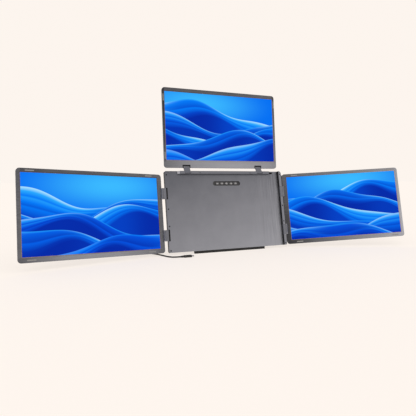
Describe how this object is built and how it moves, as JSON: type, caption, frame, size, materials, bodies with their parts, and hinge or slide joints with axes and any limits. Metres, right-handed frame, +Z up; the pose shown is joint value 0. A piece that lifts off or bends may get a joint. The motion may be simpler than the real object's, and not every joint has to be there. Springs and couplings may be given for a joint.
{
  "type": "laptop screen extender",
  "caption": "Standing metal frame with a hinged display on its left, right and upper edges, control buttons, a fold-out rear stand and a signal lead.",
  "frame": {"origin": "middle of the front rubber foot's sole, where it meets the table, under the frame's lower front edge", "axes": "+X to the right along the frame's lower edge, seen from the front, +Y to the back, +Z up"},
  "size_m": [1.083, 0.2368, 0.4582],
  "materials": {
    "frame_metal": "brushed grey anodised",
    "rail_metal": "satin grey anodised",
    "hinge_metal": "satin dark grey anodised",
    "display_metal": "satin blue-grey anodised",
    "pin_steel": "polished",
    "screw_black": "black oxide",
    "black_rubber": "matt",
    "grey_rubber": "matt",
    "black_plastic": "fine texture",
    "key_plastic": "satin light grey",
    "display_glass": "gloss",
    "backlight_white": "white diffuser",
    "circuit_board": "green solder mask",
    "socket_steel": "satin",
    "cord_black": "satin"
  },
  "bodies": {
    "frame": {"frame_back_shell": "frame_metal", "frame_front_plate": "frame_metal", "right_hinge_rail": "rail_metal", "top_hinge_rail": "rail_metal", "plate_screws": "screw_black", "rail_screws": "screw_black", "hinge_screws": "pin_steel", "frame_foot": "black_rubber", "button_bezel": "black_plastic", "key_board": "circuit_board", "rear_housing": "black_plastic", "driver_board": "circuit_board", "signal_sockets": "socket_steel", "stand_pins": "pin_steel", "left_hinge_upper": "hinge_metal", "left_hinge_lower": "hinge_metal", "right_hinge_upper": "hinge_metal", "right_hinge_lower": "hinge_metal", "rail_pins": "pin_steel", "cord_plug": "black_plastic", "cord_lead": "cord_black", "cord_coil": "cord_black", "cord_tie": "black_rubber", "free_plug": "black_plastic"},
    "left_display": {"left_bezel": "display_metal", "left_back_cover": "display_metal", "left_lcd_panel": "display_glass", "left_backlight": "backlight_white", "left_panel_board": "circuit_board", "left_bumpers": "grey_rubber", "left_hinge_leaves": "hinge_metal", "left_hinge_pins": "pin_steel"},
    "right_display": {"right_bezel": "display_metal", "right_back_cover": "display_metal", "right_lcd_panel": "display_glass", "right_backlight": "backlight_white", "right_panel_board": "circuit_board", "right_bumpers": "grey_rubber", "right_hinge_leaves": "hinge_metal", "right_hinge_pins": "pin_steel"},
    "arms": {"arm_left": "hinge_metal", "arm_right": "hinge_metal"},
    "upper_display": {"upper_bezel": "display_metal", "upper_back_cover": "display_metal", "upper_lcd_panel": "display_glass", "upper_backlight": "backlight_white", "upper_panel_board": "circuit_board", "upper_bumpers": "grey_rubber", "upper_hinge_clips": "hinge_metal", "upper_pins": "pin_steel"},
    "stand": {"stand_plate": "frame_metal", "stand_foot": "black_rubber"},
    "key_1": {"button_1": "key_plastic"},
    "key_2": {"button_2": "key_plastic"},
    "key_3": {"button_3": "key_plastic"},
    "key_4": {"button_4": "key_plastic"},
    "key_5": {"button_5": "key_plastic"}
  },
  "joints": [
    {"name": "left_display_fold", "type": "hinge", "parent": "frame", "child": "left_display", "pos_m": [-0.1917, 0.02122, 0.10882], "axis": [0, 0.1908, 0.9816], "range_deg": [-12.8, 167.2]},
    {"name": "right_display_fold", "type": "hinge", "parent": "frame", "child": "right_display", "pos_m": [0.1863, 0.01317, 0.11039], "axis": [0, -0.1908, -0.9816], "range_deg": [-18.7, 161.3]},
    {"name": "arm_swing", "type": "hinge", "parent": "frame", "child": "arms", "pos_m": [-0.0035, 0.03604, 0.22279], "axis": [1, 0, 0], "range_deg": [-6.3, 67.3]},
    {"name": "upper_display_fold", "type": "hinge", "parent": "arms", "child": "upper_display", "pos_m": [-0.0035, 0.04802, 0.23905], "axis": [1, 0, 0], "range_deg": [-10, 107.1]},
    {"name": "stand_fold", "type": "hinge", "parent": "frame", "child": "stand", "pos_m": [0, 0.03936, 0.16234], "axis": [1, 0, 0], "range_deg": [-21.74, 0]},
    {"name": "key_1_press", "type": "slide", "parent": "frame", "child": "key_1", "axis": [0, 0.9816, -0.1908], "range_m": [0, 0.0008], "stiffness_N_per_m": 600, "springref_m": -0.0004},
    {"name": "key_2_press", "type": "slide", "parent": "frame", "child": "key_2", "axis": [0, 0.9816, -0.1908], "range_m": [0, 0.0008], "stiffness_N_per_m": 600, "springref_m": -0.0004},
    {"name": "key_3_press", "type": "slide", "parent": "frame", "child": "key_3", "axis": [0, 0.9816, -0.1908], "range_m": [0, 0.0008], "stiffness_N_per_m": 600, "springref_m": -0.0004},
    {"name": "key_4_press", "type": "slide", "parent": "frame", "child": "key_4", "axis": [0, 0.9816, -0.1908], "range_m": [0, 0.0008], "stiffness_N_per_m": 600, "springref_m": -0.0004},
    {"name": "key_5_press", "type": "slide", "parent": "frame", "child": "key_5", "axis": [0, 0.9816, -0.1908], "range_m": [0, 0.0008], "stiffness_N_per_m": 600, "springref_m": -0.0004}
  ],
  "couplings": [
    {"joint": "arm_swing", "follows": "upper_display_fold", "ratio": 0.62836}
  ]
}
